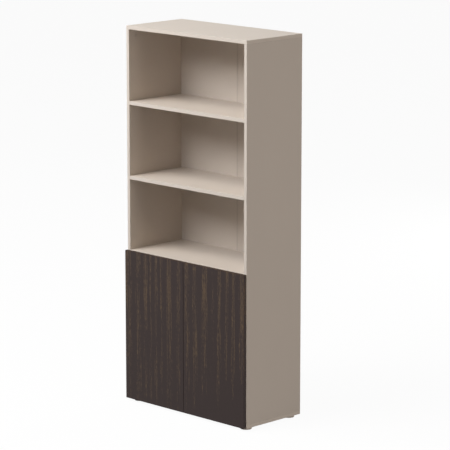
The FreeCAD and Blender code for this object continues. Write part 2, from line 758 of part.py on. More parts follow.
def hinge_link(label):
    """The link: a flat bar with a round eye at each end, from the arm's nose into the cup."""
    link = new_body(label)
    eye = "2 * link_radius"
    tip_x = f"({pivot_x} + link_length * cos(link_rest_angle * 1deg))"
    tip_y = "(link_pivot_back - link_length * sin(link_rest_angle * 1deg))"
    side_x = "link_waist * sin(link_rest_angle * 1deg)"
    side_y = "link_waist * cos(link_rest_angle * 1deg)"
    waist = [
        (f"{pivot_x} - {side_x}", f"link_pivot_back - {side_y}"),
        (f"{tip_x} - {side_x}", f"{tip_y} - {side_y}"),
        (f"{tip_x} + {side_x}", f"{tip_y} + {side_y}"),
        (f"{pivot_x} + {side_x}", f"link_pivot_back + {side_y}"),
    ]
    lengthwise(link, "Pad", "link_width", polygon(waist, [(-24, 0), (8, -11), (9, -8), (-23, 3)]))
    lengthwise(link, "Pad", "link_width", circles(eye, [(pivot_x, "link_pivot_back")]))
    lengthwise(link, "Pad", "link_width", circles(eye, [(tip_x, tip_y)]))
    pin_hole = circles("link_pin_diameter + 2 * link_pin_gap", [(pivot_x, "link_pivot_back")])
    lengthwise(link, "Pocket", "link_width", pin_hole)
    return link


def hinge_plate(label):
    """The plate on the side board, with the rail that the arm sits over."""
    plate = new_body(label)
    base_start = "plate_row_inset - plate_length / 2"
    base = rectangle(base_start, "-plate_height / 2", "plate_length", "plate_height")
    pad(plate, "YZ_Plane", "0", "plate_thickness", base, toward=-1)
    round_edges(plate, "plate_corner", is_edge_straight_out)
    rail_width = "(arm_width - 2 * arm_wall - 2 * rail_side_gap)"
    rail = rectangle("rail_front", f"-{rail_width} / 2", "arm_tail_end - rail_front", rail_width)
    pad(plate, "YZ_Plane", "0", "rail_height", rail, toward=-1)
    screw_places = [("plate_row_inset", f"({sign}) * plate_screw_spacing / 2") for sign in (-1, 1)]
    screw_holes = circles("plate_screw_diameter", screw_places)
    cut(plate, "YZ_Plane", "-plate_thickness", "plate_thickness", 1, screw_holes)
    arm_screw_hole = circles("arm_screw_diameter", [("arm_screw_place", "0")])
    cut(plate, "YZ_Plane", "-rail_height", "arm_screw_bite", 1, arm_screw_hole)
    return plate


hinge_sides = {"left": (-1, HALF_TURN_ABOUT_Y), "right": (1, FreeCAD.Rotation())}
hinge_makers = {"cup": hinge_cup, "arm": hinge_arm, "link": hinge_link, "plate": hinge_plate}
link_pins = []
arm_screws = []
plate_screws = []
for side, (outward, turn) in hinge_sides.items():
    face_x = f"({outward}) * {inner_right_x}"
    into_cupboard = -ALONG_X * outward
    cup_screws = []
    for level_name, level in hinge_levels.items():
        for piece, maker in hinge_makers.items():
            place(maker(f"hinge_{piece}_{side}_{level_name}"), face_x, front_y, level, turn)
        pin_start = (
            f"{face_x} - ({outward}) * link_pivot_inset",
            f"{front_y} + link_pivot_back",
            f"{level} - arm_width / 2",
        )
        link_pins.append(cylinder("link_pin_diameter", "arm_width", pin_start, ALONG_Z))
        head_face = (f"{face_x} - ({outward}) * arm_tail_height", f"{front_y} + arm_screw_place", level)
        head_start = along(head_face, into_cupboard, "arm_screw_head_height")
        neck = "arm_tail_height - rail_height + arm_screw_bite - screw_end_gap"
        arm_steps = [("arm_screw_head_diameter", "arm_screw_head_height"), ("arm_screw_diameter", neck)]
        arm_screws.append(turned(arm_steps, head_start, -into_cupboard))
        for sign in (-1, 1):
            plate_z = f"{level} + ({sign}) * plate_screw_spacing / 2"
            plate_x = f"{face_x} - ({outward}) * plate_thickness"
            plate_face = (plate_x, f"{front_y} + plate_row_inset", plate_z)
            plate_start = along(plate_face, into_cupboard, "plate_screw_head_height")
            plate_steps = [
                ("plate_screw_head_diameter", "plate_screw_head_height"),
                ("plate_screw_diameter", "plate_thickness + plate_screw_bite - screw_end_gap"),
            ]
            plate_screws.append(turned(plate_steps, plate_start, -into_cupboard))
            cup_screw_x = f"{face_x} + ({outward}) * ({cup_x} - cup_screw_offset)"
            cup_screw_z = f"{level} + ({sign}) * cup_screw_spacing / 2"
            head_y = f"{front_y} - door_gap + cup_flange_thickness + cup_screw_head_height"
            cup_steps = [
                ("cup_screw_head_diameter", "cup_screw_head_height"),
                ("cup_screw_diameter", "cup_flange_thickness + cup_screw_bite - screw_end_gap"),
            ]
            cup_screws.append(turned(cup_steps, (cup_screw_x, head_y, cup_screw_z), -ALONG_Y))
    group(f"hinge_cup_screws_{side}", cup_screws)
group("hinge_link_pins", link_pins)
group("hinge_arm_screws", arm_screws)
group("hinge_plate_screws", plate_screws)

# ---------------------------------------------------------------- push latches
strike_face_y = f"({front_y} - door_gap + strike_thickness)"
tip_y = f"({strike_face_y} + plunger_tip_gap)"
latch_screws = []
for side, x in (("left", "-latch_offset"), ("right", "latch_offset")):
    housing = new_body(f"latch_housing_{side}")
    case = rectangle("-latch_width / 2", "-latch_height / 2", "latch_width", "latch_height")
    pad(housing, "XZ_Plane", "0", "latch_length", case)
    round_edges(housing, "latch_edge_round", is_edge_straight_in)
    wing_start = "latch_wing_place - latch_wing_length / 2"
    wing_span = "(latch_width + 2 * latch_wing_width)"
    wings = rectangle(f"-{wing_span} / 2", wing_start, wing_span, "latch_wing_length")
    pad(housing, "XY_Plane", "latch_height / 2 - latch_wing_thickness", "latch_wing_thickness", wings)
    bore = circles("plunger_diameter + 2 * plunger_gap", [("0", "0")])
    cut(housing, "XZ_Plane", "0", "plunger_length", 1, bore)
    wing_middle = "(latch_width + latch_wing_width) / 2"
    wing_places = [(f"({sign}) * {wing_middle}", "latch_wing_place") for sign in (-1, 1)]
    wing_holes = circles("latch_screw_diameter", wing_places)
    cut(housing, "XY_Plane", "latch_height / 2", "latch_wing_thickness", -1, wing_holes)
    place(housing, x, f"{front_y} + latch_setback", strike_z)

    plunger = new_body(f"latch_plunger_{side}")
    pad(plunger, "XZ_Plane", "0", "plunger_length", circles("plunger_diameter", [("0", "0")]))
    place(plunger, x, tip_y, strike_z)

    strike = new_body(f"door_strike_{side}")
    pad(strike, "XZ_Plane", "0", "strike_thickness", circles("strike_diameter", [("0", "0")]), toward=-1)
    pin_length = "strike_thickness + strike_pin_length - strike_pin_gap"
    pad(strike, "XZ_Plane", "0", pin_length, circles("strike_pin_diameter", [("0", "0")]), toward=-1)
    place(strike, x, strike_face_y, strike_z)
for x, row in latch_screw_places:
    under_z = f"{fixed_shelf_top_z} - board - latch_wing_thickness - latch_screw_head_height"
    steps = [
        ("latch_screw_head_diameter", "latch_screw_head_height"),
        ("latch_screw_diameter", "latch_wing_thickness + latch_screw_bite - screw_end_gap"),
    ]
    latch_screws.append(turned(steps, (x, f"{front_y} + {row}", under_z), ALONG_Z))
group("latch_screws", latch_screws)

# ---------------------------------------------------------------- check and write
doc.recompute()
for thing in doc.Objects:
    if "Invalid" in thing.State or "Error" in thing.State:
        raise RuntimeError(f"{thing.Label} failed: {thing.State}")
os.makedirs("parts", exist_ok=True)
for label, node in nodes.items():
    if node.Shape.isNull() or not node.Shape.isValid():
        raise RuntimeError(f"{label} has no valid shape")
    node.Shape.exportStep(f"parts/{label}.step")
print(len(nodes), "nodes")
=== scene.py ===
"""A tall bookcase: three open bays in warm greige over a cupboard with two dark wood doors."""

import math

import bpy
import numpy as np
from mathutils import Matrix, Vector


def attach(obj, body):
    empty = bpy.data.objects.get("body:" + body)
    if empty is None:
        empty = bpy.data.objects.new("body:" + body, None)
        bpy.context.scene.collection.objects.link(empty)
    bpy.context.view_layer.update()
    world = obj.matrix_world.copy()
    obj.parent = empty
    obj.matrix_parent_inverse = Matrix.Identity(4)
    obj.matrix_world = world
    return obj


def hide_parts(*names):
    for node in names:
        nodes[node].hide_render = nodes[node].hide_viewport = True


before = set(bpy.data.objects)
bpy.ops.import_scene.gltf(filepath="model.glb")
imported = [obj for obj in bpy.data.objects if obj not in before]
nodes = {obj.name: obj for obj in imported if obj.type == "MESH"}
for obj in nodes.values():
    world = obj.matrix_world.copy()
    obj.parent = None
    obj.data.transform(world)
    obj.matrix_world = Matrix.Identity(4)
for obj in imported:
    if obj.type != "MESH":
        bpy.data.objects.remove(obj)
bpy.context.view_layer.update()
scene = bpy.context.scene

# ------------------------------------------------------------------------------------------------
# Carcass boards: sides, top, bottom, fixed shelf and three loose shelves of 18 mm chipboard, faced
# with greige melamine paper. Seen edges are banded with 1 mm plastic, glued on and scraped flush;
# the band is drawn a little lighter as a painted highlight, and the sawn rear edges are left raw.
BOARDS = (
    "side_panel_left",
    "side_panel_right",
    "top_panel",
    "bottom_panel",
    "fixed_shelf",
    "shelf_middle",
    "shelf_upper",
    "shelf_inner",
)
BOARD_FRONT_Y = -0.185
BOARD_REAR_Y = 0.205
BOARD_END_X = 0.425
TOP_UNDER_Z = 1.934
BOTTOM_TOP_Z = 0.032
SKIN = 0.00005
GREIGE = (212, 201, 190)
PAPER_GLOSS = 0.3
PAPER_ROUGHNESS = 0.52
# the paper's cloud and pearl speckle: cells per metre, and how far each moves the tone and roughness
CLOUD_CELLS = 5.0
CLOUD_TONE = 0.03
CLOUD_ROUGHNESS = 0.06
PEARL_CELLS = 1300.0
PEARL_TONE = 0.07
PEARL_ROUGHNESS = 0.16
PEARL_DEPTH = 0.00003
BAND_THICKNESS = 0.001
# painted highlight: how much lighter the banded edges are drawn than the paper
BAND_PAINTED_HIGHLIGHT = 0.08
GLUE_LINE = 0.00012
GLUE_BROWN = (120, 106, 92)
GLUE_SHARE = 0.35
# painted shadow line along the joints of the top and bottom boards: its half width, colour and share
JOINT_HALF = 0.0002
JOINT_SHADOW_COLOUR = (58, 48, 40)
JOINT_SHADOW_SHARE = 0.8
# sawn chipboard: flakes per metre along x, y and z, what bends them, and the dust between them
FLAKE_CELLS = (520.0, 520.0, 620.0)
FLAKE_BEND_CELLS = 900.0
DUST_CELLS = 1500.0
DUST_SHARE = 0.4
FLAKE_TONES = (
    (0.12, (126, 98, 66)),
    (0.4, (168, 138, 100)),
    (0.65, (190, 162, 122)),
    (0.9, (210, 186, 148)),
)


def paint(red, green, blue, share=1.0):
    """A colour of 0 to 255 as display light, turned to linear light: above the darkest levels it is
    ((c + 0.055) / 1.055) to the power 2.4, and c / 12.92 below."""
    levels = np.array([red, green, blue]) / 255
    linear = np.where(levels <= 0.04045, levels / 12.92, ((levels + 0.055) / 1.055) ** 2.4)
    return (*(linear * share).tolist(), 1.0)


class Value:
    """One output socket of a shader node. An operator used on it adds the Math node that it names."""

    def __init__(self, finish, socket):
        self.finish = finish
        self.socket = socket

    def calc(self, operation, *numbers):
        """The Math node of that operation on the given numbers and sockets."""
        return self.finish.node("ShaderNodeMath", {"operation": operation}, dict(enumerate(numbers)))

    def most(self, other):
        """The larger of two numbers."""
        return self.calc("MAXIMUM", self, other)

    def least(self, other):
        """The smaller of two numbers."""
        return self.calc("MINIMUM", self, other)

    def swing(self, amount):
        """A number of 0 to 1 as a share of the amount either side of nothing: (number - 0.5) times it."""
        return (self - 0.5) * amount

    def out(self, name):
        """Another output of the same node."""
        return Value(self.finish, self.socket.node.outputs[name])

    def __add__(self, other):
        return self.calc("ADD", self, other)

    def __sub__(self, other):
        return self.calc("SUBTRACT", self, other)

    def __rsub__(self, other):
        return self.calc("SUBTRACT", other, self)

    def __mul__(self, other):
        return self.calc("MULTIPLY", self, other)

    def __truediv__(self, other):
        return self.calc("DIVIDE", self, other)

    def __rtruediv__(self, other):
        return self.calc("DIVIDE", other, self)

    def __abs__(self):
        return self.calc("ABSOLUTE", self)

    def __gt__(self, other):
        return self.calc("GREATER_THAN", self, other)

    def __lt__(self, other):
        return self.calc("LESS_THAN", self, other)

    __radd__ = __add__
    __rmul__ = __mul__


class Tree:
    """A node tree that is built up by calls."""

    def __init__(self, tree):
        self.nodes = tree.nodes
        self.links = tree.links

    def node(self, kind, settings=None, sockets=None):
        """A node of that type: its settings first, then the numbers or links of its sockets."""
        made = self.nodes.new(kind)
        for name, setting in (settings or {}).items():
            if name == "stops":
                stops = made.color_ramp.elements
                while len(stops) < len(setting):
                    stops.new(0.5)
                for stop, (position, colour) in zip(stops, setting):
                    stop.position = position
                    stop.color = colour
            else:
                setattr(made, name, setting)
        for name, given in (sockets or {}).items():
            if isinstance(given, Value):
                self.links.new(given.socket, made.inputs[name])
            else:
                made.inputs[name].default_value = given
        return Value(self, next(output for output in made.outputs if output.enabled))

    def show(self, output, shader):
        """Makes a shader the one that the tree's output node shows."""
        self.links.new(shader.socket, self.nodes[output].inputs["Surface"])


class Finish(Tree):
    """One material that is built up node by node on its Principled shader."""

    def __init__(self, name, **uniform):
        self.material = bpy.data.materials.new(name)
        self.material.use_nodes = True
        super().__init__(self.material.node_tree)
        self.shader = self.nodes["Principled BSDF"]
        for socket, number in uniform.items():
            self.shader.inputs[socket.replace("_", " ")].default_value = number
        self.place = self.node("ShaderNodeTexCoord").out("Object")
        self.x, self.y, self.z = self.split(self.place)

    def feed(self, socket, value):
        """Links a value to one of the shader's own sockets."""
        self.links.new(value.socket, self.shader.inputs[socket])

    def split(self, vector):
        """The three numbers of a vector."""
        first = self.node("ShaderNodeSeparateXYZ", None, {0: vector})
        return first, first.out(1), first.out(2)

    def join(self, x, y, z):
        """A vector of three numbers."""
        return self.node("ShaderNodeCombineXYZ", None, {0: x, 1: y, 2: z})

    def cells(self, per_x, per_y, per_z):
        """The place counted in cells of so many per metre along x, y and z."""
        return self.join(self.x * per_x, self.y * per_y, self.z * per_z)

    def noise(self, vector, scale, detail=2.0, roughness=0.5):
        """Soft noise from 0 to 1 with so many cells per unit of the vector."""
        settings = {"noise_dimensions": "3D", "normalize": True}
        sockets = {"Vector": vector, "Scale": scale, "Detail": detail, "Roughness": roughness}
        return self.node("ShaderNodeTexNoise", settings, sockets)

    def step(self, value, low, high):
        """0 below low, 1 above high, and a smooth rise between them."""
        settings = {"interpolation_type": "SMOOTHSTEP"}
        return self.node("ShaderNodeMapRange", settings, {0: value, 1: low, 2: high})

    def mix(self, share, first, second):
        """Colour first where share is 0, second where it is 1."""
        settings = {"data_type": "RGBA", "clamp_factor": True}
        made = self.node("ShaderNodeMix", settings, {0: share, 6: first, 7: second})
        return Value(self, made.socket.node.outputs[2])

    def shade(self, colour, value):
        """A colour times a number."""
        grey = self.join(value, value, value)
        settings = {"data_type": "RGBA", "blend_type": "MULTIPLY"}
        made = self.node("ShaderNodeMix", settings, {0: 1.0, 6: colour, 7: grey})
        return Value(self, made.socket.node.outputs[2])

    def relief(self, height, distance, strength=1.0):
        """Feeds a height from 0 to 1 as a bump of that depth in metres to the shader's normal."""
        sockets = {"Height": height, "Distance": distance, "Strength": strength}
        self.feed("Normal", self.node("ShaderNodeBump", None, sockets))


def dress(finish, *names):
    """Puts a finish on every material slot of the named CAD nodes."""
    for name in names:
        for material_slot in nodes[name].material_slots:
            material_slot.material = finish.material


def melamine(name, colour):
    """Printed melamine paper: a faint cloudy tone, a fine pearl speckle and a shallow pressed grain."""
    finish = Finish(name, Specular_IOR_Level=PAPER_GLOSS)
    cloud = finish.noise(finish.place, CLOUD_CELLS, 3.0)
    speckle = finish.noise(finish.place, PEARL_CELLS, 1.0)
    finish.tone = finish.shade(colour, 1.0 + cloud.swing(CLOUD_TONE) + speckle.swing(PEARL_TONE))
    finish.speckle = speckle
    roughness = PAPER_ROUGHNESS + speckle.swing(PEARL_ROUGHNESS) + cloud.swing(CLOUD_ROUGHNESS)
    finish.feed("Roughness", roughness)
    return finish


def raw_chipboard(finish):
    """Sawn chipboard: pressed flakes of one to two millimetres from straw to brown, and fine dust between."""
    flat = finish.cells(*FLAKE_CELLS)
    wobble = finish.noise(finish.place, FLAKE_BEND_CELLS, 2.0) - 0.5
    shift = finish.join(wobble, wobble, wobble)
    bent = finish.node("ShaderNodeVectorMath", {"operation": "ADD"}, {0: flat, 1: shift})
    sockets = {"Vector": bent, "Scale": 1.0, "Randomness": 1.0}
    flake = finish.node("ShaderNodeTexVoronoi", {"feature": "F1"}, sockets)
    dust = finish.noise(finish.place, DUST_CELLS, 3.0)
    tone = finish.split(flake.out("Color"))[0] * (1 - DUST_SHARE) + dust * DUST_SHARE
    stops = [(position, paint(*colour)) for position, colour in FLAKE_TONES]
    return finish.node("ShaderNodeValToRGB", {"stops": stops}, {0: tone})


board = melamine("greige_melamine", paint(*GREIGE))
band_seam_y = BOARD_FRONT_Y + BAND_THICKNESS
band_seam_x = BOARD_END_X - BAND_THICKNESS
end_reach = abs(board.x)
front_seam = abs(board.y - band_seam_y) < GLUE_LINE / 2
lies_flat = (board.z > TOP_UNDER_Z) + (board.z < BOTTOM_TOP_Z)
end_seam = abs(end_reach - band_seam_x) < GLUE_LINE / 2
outside = (board.y < BOARD_FRONT_Y + SKIN).most(end_reach > BOARD_END_X - SKIN)
# painted shadow: a dark line on the outside faces where the top and bottom boards meet the sides, the shade
# of the hairline gap
top_joint = abs(board.z - TOP_UNDER_Z) < JOINT_HALF
bottom_joint = abs(board.z - BOTTOM_TOP_Z) < JOINT_HALF
painted_joint_shadow = top_joint.most(bottom_joint) * outside
seam = front_seam.most(end_seam * lies_flat)
sawn = board.y > BOARD_REAR_Y - SKIN
# painted highlight: the banded faces at the front and at the ends of the top and bottom are drawn lighter
painted_highlight_band = (board.y < band_seam_y).most(lies_flat * (end_reach > band_seam_x))
laminate = board.shade(board.tone, 1.0 + painted_highlight_band * BAND_PAINTED_HIGHLIGHT)
laminate = board.mix(seam * GLUE_SHARE, laminate, paint(*GLUE_BROWN))
laminate = board.mix(painted_joint_shadow * JOINT_SHADOW_SHARE, laminate, paint(*JOINT_SHADOW_COLOUR))
board.feed("Base Color", board.mix(sawn, laminate, raw_chipboard(board)))
board.relief(board.speckle, PEARL_DEPTH)
dress(board, *BOARDS)

# ------------------------------------------------------------------------------------------------
# Back: two halves of 4 mm fibreboard, papered greige in front and raw brown behind. They slide in
# grooves in the boards, and a plastic H strip of the same greige joins them in the middle.
RAW_FACE_Y = 0.1858
FIBRE_CELLS = 260.0
FIBRE_DARK = (104, 80, 56)
FIBRE_LIGHT = (158, 130, 98)
STRIP_TONE = 0.9

back = melamine("back_paper", paint(*GREIGE))
fibre = back.noise(back.place, FIBRE_CELLS, 6.0, 0.7)
raw_fibre = back.mix(fibre, paint(*FIBRE_DARK), paint(*FIBRE_LIGHT))
back.feed("Base Color", back.mix(back.y > RAW_FACE_Y, back.tone, raw_fibre))
back.relief(back.speckle, PEARL_DEPTH)
dress(back, "back_panel_left", "back_panel_right")

strip = melamine("joint_strip", paint(*GREIGE, share=STRIP_TONE))
strip.feed("Base Color", strip.tone)
dress(strip, "back_joint_profile", "cam_cover_caps")

# ------------------------------------------------------------------------------------------------
# Doors: two 18 mm boards faced and banded in dark smoked oak print. The grain stands upright and
# runs on from one door to the next; the fronts are bare, because push latches open them.
DOOR_LEFT_X = -0.425
DOOR_PAIR_WIDTH = 0.85
DOOR_FRONT_Y = -0.205
DOOR_BAND_LOW_Z = 0.0178
DOOR_BAND_HIGH_Z = 0.7965
END_GRAIN_STRETCH = 9.0
SMOKED_GLOSS = 0.2
SMOKED_ROUGHNESS = 0.5
SMOKED_DARK = paint(52, 41, 39)
SMOKED_LIGHT = paint(90, 73, 57)
PORE_DEPTH = 0.00006
PORE_STRENGTH = 0.6
# light streaks from the left: place of the middle in millimetres, and strength
STREAKS = (
    (20, 0.8),
    (98, 0.5),
    (153, 0.64),
    (186, 0.45),
    (228, 0.54),
    (262, 0.4),
    (321, 0.7),
    (392, 0.48),
    (450, 0.62),
    (506, 0.46),
    (582, 0.74),
    (636, 0.36),
    (677, 0.6),
    (738, 0.48),
    (777, 0.56),
    (838, 0.58),
)
# grain noises: cells per metre across and along the grain, layer, detail and roughness
SWAY = (5.0, 1.1, 0.0, 2.0, 0.5)
SHIVER = (90.0, 9.0, 0.0, 2.0, 0.5)
SWELL = (26.0, 2.2, 3.0, 2.0, 0.5)
STRAND = (155.0, 4.0, 1.0, 2.0, 0.65)
DASH = (330.0, 42.0, 4.0, 1.0, 0.5)
HAIR = (1100.0, 90.0, 2.0, 2.0, 0.6)
PORE = (1500.0, 70.0, 5.0, 1.0, 0.5)
SWAY_REACH = 0.012
SHIVER_REACH = 0.0015
# the plain corner at the lower right begins here and rises by this much per metre to the right
PLAIN_START_X = 0.02
PLAIN_SLOPE = 0.62
PLAIN_WANDER = 0.5
# each edge is the pair of values between which something rises from none to all
PLAIN_EDGE = (-0.12, 0.2)
RISE_EDGE = (-0.2, 0.75)
RISE_WANDER = 0.9
SWELL_EDGE = (0.3, 0.66)
COVER_EDGE = (0.35, 0.85)
PORE_EDGE = (0.62, 0.7)
# how a streak becomes a bundle of strands: its gain less a cut, up to a limit that grows with the height
STREAK_GAIN = 2.6
STREAK_CUT = 0.5
STREAK_LEAST = 0.75
STREAK_SWELL = 0.45
BUNDLE_LOW = 0.12
BUNDLE_RISE = 0.4
STRAND_RAGGED = 2.8
DASH_RAGGED = 1.5
HAIR_RAGGED = 1.6
GRAIN_TONE = 0.3
PORE_TONE = 0.25


def smoked_oak(name):
    """Upright grain: light streaks broken into strands, dashes and hairs, with short dark pores between."""
    finish = Finish(name, Specular_IOR_Level=SMOKED_GLOSS)
    on_end = (finish.z < DOOR_BAND_LOW_Z) + (finish.z > DOOR_BAND_HIGH_Z)
    round_edge = finish.x + (finish.y - DOOR_FRONT_Y)
    across = round_edge + on_end * (finish.y * END_GRAIN_STRETCH)
    along = finish.z + on_end * finish.x

    def grain(line, across_cells, along_cells, layer, detail, roughness):
        """Noise that is drawn out along the grain; each layer is a pattern of its own."""
        place = finish.join(line * across_cells, layer, along * along_cells)
        return finish.noise(place, 1.0, detail, roughness)

    sway = grain(across, *SWAY) - 0.5
    shiver = grain(across, *SHIVER) - 0.5
    bent = across + sway * SWAY_REACH + shiver * SHIVER_REACH
    dark_places = [((one[0] + two[0]) / 2, 0.0) for one, two in zip(STREAKS, STREAKS[1:])]
    width = DOOR_PAIR_WIDTH * 1000
    levels = sorted((*STREAKS, *dark_places))
    stops = [(place / width, (strength, strength, strength, 1.0)) for place, strength in levels]
    share_across = (bent - DOOR_LEFT_X) / DOOR_PAIR_WIDTH
    ramp = finish.node("ShaderNodeValToRGB", {"stops": stops}, {0: share_across})
    streak = finish.split(ramp)[0]
    swell = grain(across, *SWELL)
    above_plain = along - (across - PLAIN_START_X) * PLAIN_SLOPE
    plain_corner = finish.step(above_plain + swell.swing(PLAIN_WANDER), *PLAIN_EDGE)
    rise = finish.step(along + swell.swing(RISE_WANDER), *RISE_EDGE)
    streak = streak * plain_corner * (STREAK_LEAST + finish.step(swell, *SWELL_EDGE) * STREAK_SWELL)
    strand = grain(bent, *STRAND)
    dash = grain(bent, *DASH)
    hair = grain(bent, *HAIR)
    ragged = strand.swing(STRAND_RAGGED) + dash.swing(DASH_RAGGED) + hair.swing(HAIR_RAGGED)
    bundle = (streak * STREAK_GAIN - STREAK_CUT).least(BUNDLE_LOW + rise * BUNDLE_RISE)
    cover = finish.step(bundle + ragged, *COVER_EDGE)
    pore = finish.step(grain(bent, *PORE), *PORE_EDGE)
    tone = 1.0 + dash.swing(GRAIN_TONE) + hair.swing(GRAIN_TONE) - pore * PORE_TONE
    colour = finish.mix(cover, SMOKED_DARK, SMOKED_LIGHT)
    finish.feed("Base Color", finish.shade(colour, tone))
    finish.feed("Roughness", SMOKED_ROUGHNESS + cover * 0.08 + hair.swing(0.12) + on_end * 0.3)
    finish.relief(dash * 0.3 + hair * 0.4 - pore * 0.6, PORE_DEPTH, PORE_STRENGTH)
    return finish


dress(smoked_oak("smoked_oak"), "door_left", "door_right")

# ------------------------------------------------------------------------------------------------
# Feet: four round glides of greige moulded plastic under the bottom board, with a hollow below
# for the screw. Shallow upright flutes give a grip, and a groove parts the sole from the body.
FOOT_PLACES = ((-0.384, -0.144), (0.384, -0.144), (-0.384, 0.164), (0.384, 0.164))
FOOT_NAMES = ("foot_front_left", "foot_front_right", "foot_rear_left", "foot_rear_right")
FOOT_AROUND = 144
FLUTES = 24
FLUTE_DEPTH = 0.0004
FLUTE_LOW_Z = 0.0058
FLUTE_HIGH_Z = 0.0125
FLUTE_INNER_RADIUS = 0.02
# radius and height of the outline, from the screw hole down and round to the top, in millimetres
FOOT_OUTLINE = (
    (2.05, 14.0),
    (2.05, 6.05),
    (5.5, 6.05),
    (5.5, 0.9),
    (5.8, 0.3),
    (6.6, 0.0),
    (26.4, 0.0),
    (27.8, 0.35),
    (28.7, 1.1),
    (29.0, 2.1),
    (29.0, 3.6),
    (28.8, 4.0),
    (28.2, 4.1),
    (28.2, 4.7),
    (28.8, 4.8),
    (29.0, 5.2),
    (29.0, 5.8),
    (29.0, 7.0),
    (29.0, 9.0),
    (28.95, 11.0),
    (28.85, 12.5),
    (28.5, 13.3),
    (27.8, 13.8),
    (26.8, 14.0),
)
FOOT_GREIGE = (200, 187, 174)
FOOT_ROUGHNESS = 0.55
# spark-textured plastic: pits and cloud in cells per metre, and how far each moves the tone
PIT_CELLS = 2200.0
PIT_TONE = 0.12
PIT_ROUGHNESS = 0.2
PIT_DEPTH = 0.00003
PLASTIC_CLOUD_CELLS = 60.0
PLASTIC_CLOUD_TONE = 0.08
PLASTIC_TONE = 0.9


def mesh_piece(name, points, faces, finish, body, smooth_limit=35.0):
    """A piece from its points and faces, smooth-shaded except over edges sharper than the limit."""
    mesh = bpy.data.meshes.new(name)
    mesh.from_pydata(points.tolist(), [], faces)
    mesh.shade_smooth()
    mesh.set_sharp_from_angle(angle=math.radians(smooth_limit))
    mesh.materials.append(finish.material)
    piece = bpy.data.objects.new(name, mesh)
    scene.collection.objects.link(piece)
    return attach(piece, body)


def ring_faces(rows, around, closed):
    """Faces of a grid of rows: each joins a point, the next one round and the same two of the next row."""
    row, column = np.meshgrid(np.arange(rows if closed else rows - 1), np.arange(around), indexing="ij")
    after = (row + 1) % rows
    beside = (column + 1) % around
    quads = [row * around + column, after * around + column, after * around + beside, row * around + beside]
    return np.stack(quads, axis=-1).reshape(-1, 4).tolist()


def fluted_foot(centre):
    """The outline, from its top end back, turned about the upright axis. Between the flute heights the
    outer radius dips by the square root of cos of 24 turns, where that is above 0."""
    radius, height = np.array(FOOT_OUTLINE[::-1]).T / 1000
    angle = np.linspace(0.0, 2 * math.pi, FOOT_AROUND, endpoint=False)
    in_flutes = (height > FLUTE_LOW_Z) & (height < FLUTE_HIGH_Z) & (radius > FLUTE_INNER_RADIUS)
    dip = FLUTE_DEPTH * np.clip(np.cos(FLUTES * angle), 0.0, 1.0) ** 0.5
    reach = radius[:, None] - in_flutes[:, None] * dip[None, :]
    x = centre[0] + reach * np.cos(angle)
    y = centre[1] + reach * np.sin(angle)
    z = np.broadcast_to(height[:, None], x.shape)
    return np.stack([x, y, z], axis=-1).reshape(-1, 3)


def moulded_plastic(name, colour, roughness):
    """Spark-textured moulded plastic: fine pits and a faint cloudy tone."""
    finish = Finish(name, Specular_IOR_Level=0.45)
    pits = finish.noise(finish.place, PIT_CELLS, 2.0)
    cloud = finish.noise(finish.place, PLASTIC_CLOUD_CELLS, 2.0)
    tone = PLASTIC_TONE + pits * PIT_TONE + cloud * PLASTIC_CLOUD_TONE
    finish.feed("Base Color", finish.shade(paint(*colour), tone))
    finish.feed("Roughness", roughness + pits.swing(PIT_ROUGHNESS))
    finish.relief(pits, PIT_DEPTH)
    return finish


foot_plastic = moulded_plastic("foot_plastic", FOOT_GREIGE, FOOT_ROUGHNESS)
foot_faces = ring_faces(len(FOOT_OUTLINE), FOOT_AROUND, closed=True)
for name, centre in zip(FOOT_NAMES, FOOT_PLACES):
    points = fluted_foot(centre)
    foot = mesh_piece(name + "_glide", points, foot_faces, foot_plastic, "carcass")
    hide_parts(name)

# ------------------------------------------------------------------------------------------------
# Screws: zinc-plated chipboard screws with a domed head and a pressed cross, and a rolled thread.
# They hold the feet, the hinge cups, plates and arms, and the latches.
SIDES = (-1, 1)
CUP_LEVELS = (0.117, 0.6975)
SCREW_AROUND = 48
THREAD_PITCH = 0.0016
THREAD_ROWS_PER_TURN = 6
THREAD_DEPTH = 0.22
THREADED_SHARE = 0.86
TIP_RADIUS = 0.6
TIP_START = 0.93
DOME_ROWS = 20
DOME_EDGE = 0.93
DOME_DROP = 0.5
# shares of the head's radius and height, round the rim and under it
HEAD_RIM = ((0.985, 0.46), (1.0, 0.34), (1.0, 0.06), (0.97, 0.0))
# the cross as shares of the head's radius, and its depth and taper
CROSS_HALF = 0.13
CROSS_SLOPE = 0.12
CROSS_REACH = 0.62
CROSS_DEPTH = 0.62
CROSS_TAPER = 0.45
# head radius, head height, shank radius and length of each kind
FOOT_SCREW = (0.00425, 0.003, 0.002, 0.021)
CUP_SCREW = (0.003, 0.0016, 0.0015, 0.0098)
ARM_SCREW = (0.0035, 0.0016, 0.002, 0.009)
PLATE_SCREW = (0.00375, 0.002, 0.002, 0.013)
LATCH_SCREW = (0.003, 0.0016, 0.0015, 0.012)
# points under the heads: the seat's height, or its x, y and distance from the middle of the fitting
FOOT_SEAT_Z = 0.006
CUP_SEAT = (0.393, -0.1862, 0.0225)
ARM_SEAT = (0.394, -0.129)
PLATE_SEAT = (0.405, -0.148, 0.016)
LATCH_SEAT = (0.06, -0.158, 0.015)
LATCH_SEAT_Z = 0.779
ZINC = (196, 199, 202)
ZINC_ROUGHNESS = 0.34
# plated steel: the sheen's cloud and the rolling marks in cells per metre
SHEEN_CELLS = 120.0
ROLLING_CELLS = (300.0, 300.0, 2500.0)
ROLLING_DEPTH = 0.00001


